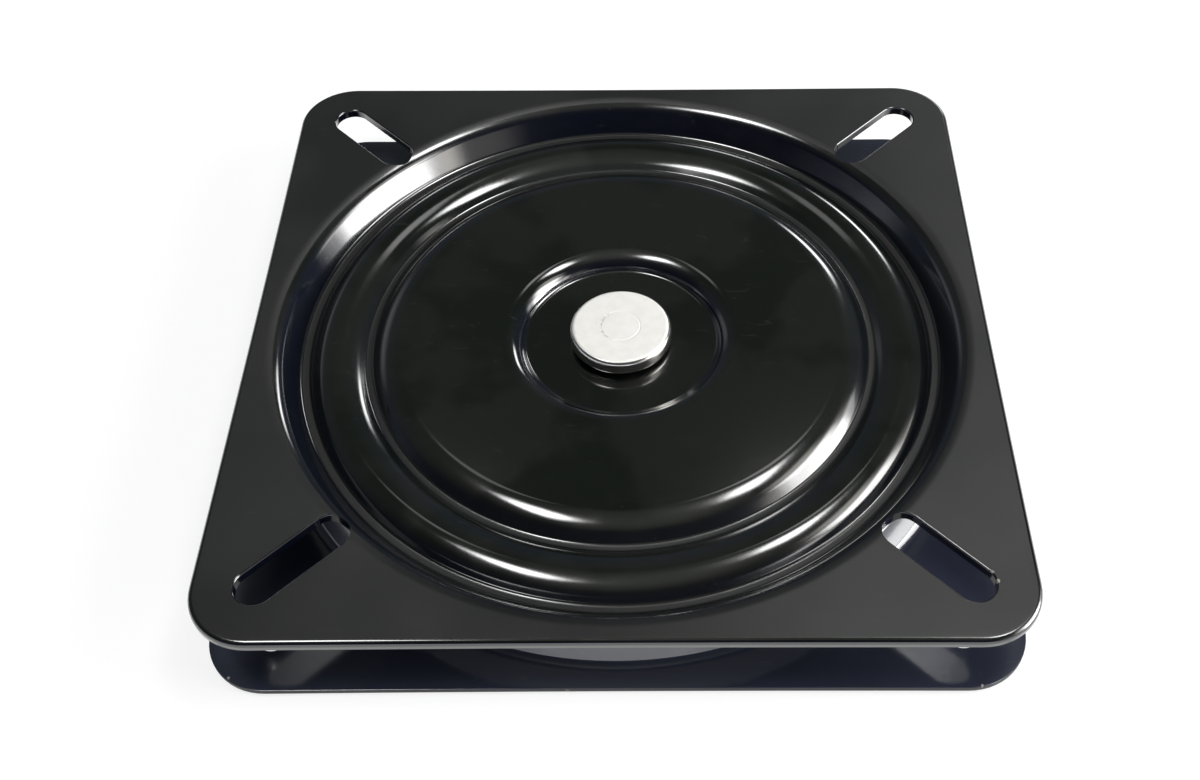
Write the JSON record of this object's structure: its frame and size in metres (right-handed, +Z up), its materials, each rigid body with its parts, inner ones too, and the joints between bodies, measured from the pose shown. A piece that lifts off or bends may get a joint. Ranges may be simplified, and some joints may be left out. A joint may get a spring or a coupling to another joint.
{
  "type": "swivel seat base",
  "caption": "Square ball-bearing swivel plate: two pressed black steel plates with diagonal bolt slots, a ring of balls between them and a zinc-plated centre rivet, for turning a seat.",
  "frame": {"origin": "centre of the lower plate's underside, on the swivel axis", "axes": "+Z up along the rivet and swivel axis; X and Y along the sides of the plates"},
  "size_m": [0.1998, 0.1998, 0.024],
  "materials": {
    "black_paint": "gloss black baked paint on pressed sheet steel",
    "zinc_plate": "bright zinc plate",
    "glide_washer": "black moulded acetal",
    "cage_steel": "plain pressed steel strip",
    "ball_steel": "polished bearing steel"
  },
  "bodies": {
    "lower": {"lower_plate": "black_paint", "centre_rivet": "zinc_plate", "upper_washer": "glide_washer", "spacer_washer": "glide_washer", "lower_washer": "glide_washer"},
    "upper": {"upper_plate": "black_paint"},
    "cage": {"ball_cage": "cage_steel", "ball_01": "ball_steel", "ball_02": "ball_steel", "ball_03": "ball_steel", "ball_04": "ball_steel", "ball_05": "ball_steel", "ball_06": "ball_steel", "ball_07": "ball_steel", "ball_08": "ball_steel", "ball_09": "ball_steel", "ball_10": "ball_steel", "ball_11": "ball_steel", "ball_12": "ball_steel", "ball_13": "ball_steel", "ball_14": "ball_steel", "ball_15": "ball_steel", "ball_16": "ball_steel", "ball_17": "ball_steel", "ball_18": "ball_steel", "ball_19": "ball_steel", "ball_20": "ball_steel", "ball_21": "ball_steel", "ball_22": "ball_steel", "ball_23": "ball_steel", "ball_24": "ball_steel"}
  },
  "joints": [
    {"name": "swivel", "type": "hinge", "parent": "lower", "child": "upper", "pos_m": [0, 0, 0.012], "axis": [0, 0, 1], "continuous": true},
    {"name": "cage_orbit", "type": "hinge", "parent": "lower", "child": "cage", "pos_m": [0, 0, 0.012], "axis": [0, 0, 1], "continuous": true}
  ],
  "couplings": [
    {"joint": "cage_orbit", "follows": "swivel", "ratio": 0.5}
  ]
}
